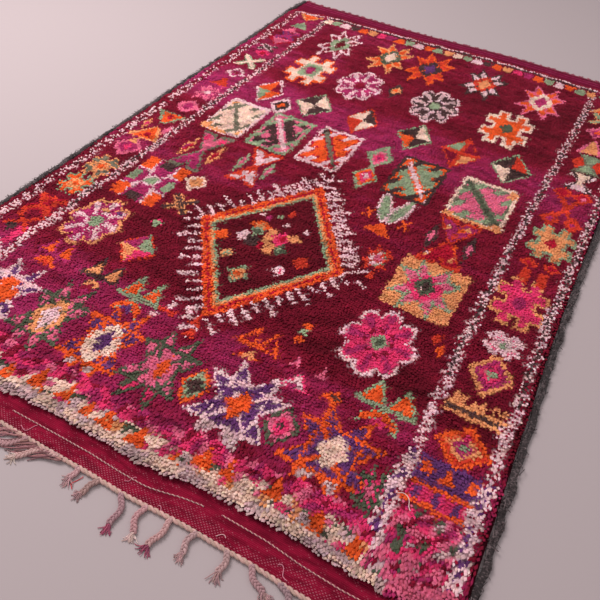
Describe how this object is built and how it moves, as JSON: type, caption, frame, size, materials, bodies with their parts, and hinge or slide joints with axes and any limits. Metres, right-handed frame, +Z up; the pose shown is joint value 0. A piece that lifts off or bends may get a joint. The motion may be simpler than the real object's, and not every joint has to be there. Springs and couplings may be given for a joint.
{
  "type": "hand-knotted wool rug",
  "caption": "Flat rectangular hand-knotted wool rug with deep pile, flat-woven ends, dark side selvedges, a twined cord with plaited tassels at one end and short tufts at the other.",
  "frame": {"origin": "on the underside, at the middle of the cloth", "axes": "+X across the rug, +Y along it from the end with plaited tassels to the end with short tufts, +Z up out of the pile"},
  "size_m": [1.703, 2.7218, 0.0229],
  "materials": {
    "wool_pile": "matte knotted wool pile, wine to magenta, with many-coloured traditional motifs",
    "goat_hair": "matte hairy grey-brown wrapping",
    "warp_yarn": "matte plied wool yarn, cream and dusty pink",
    "wine_yarn": "matte wine wool yarn"
  },
  "bodies": {
    "root": {"cloth": "wool_pile", "selvedge_left": "goat_hair", "selvedge_right": "goat_hair", "near_fringe": "warp_yarn", "far_fringe": "wine_yarn"}
  },
  "joints": []
}
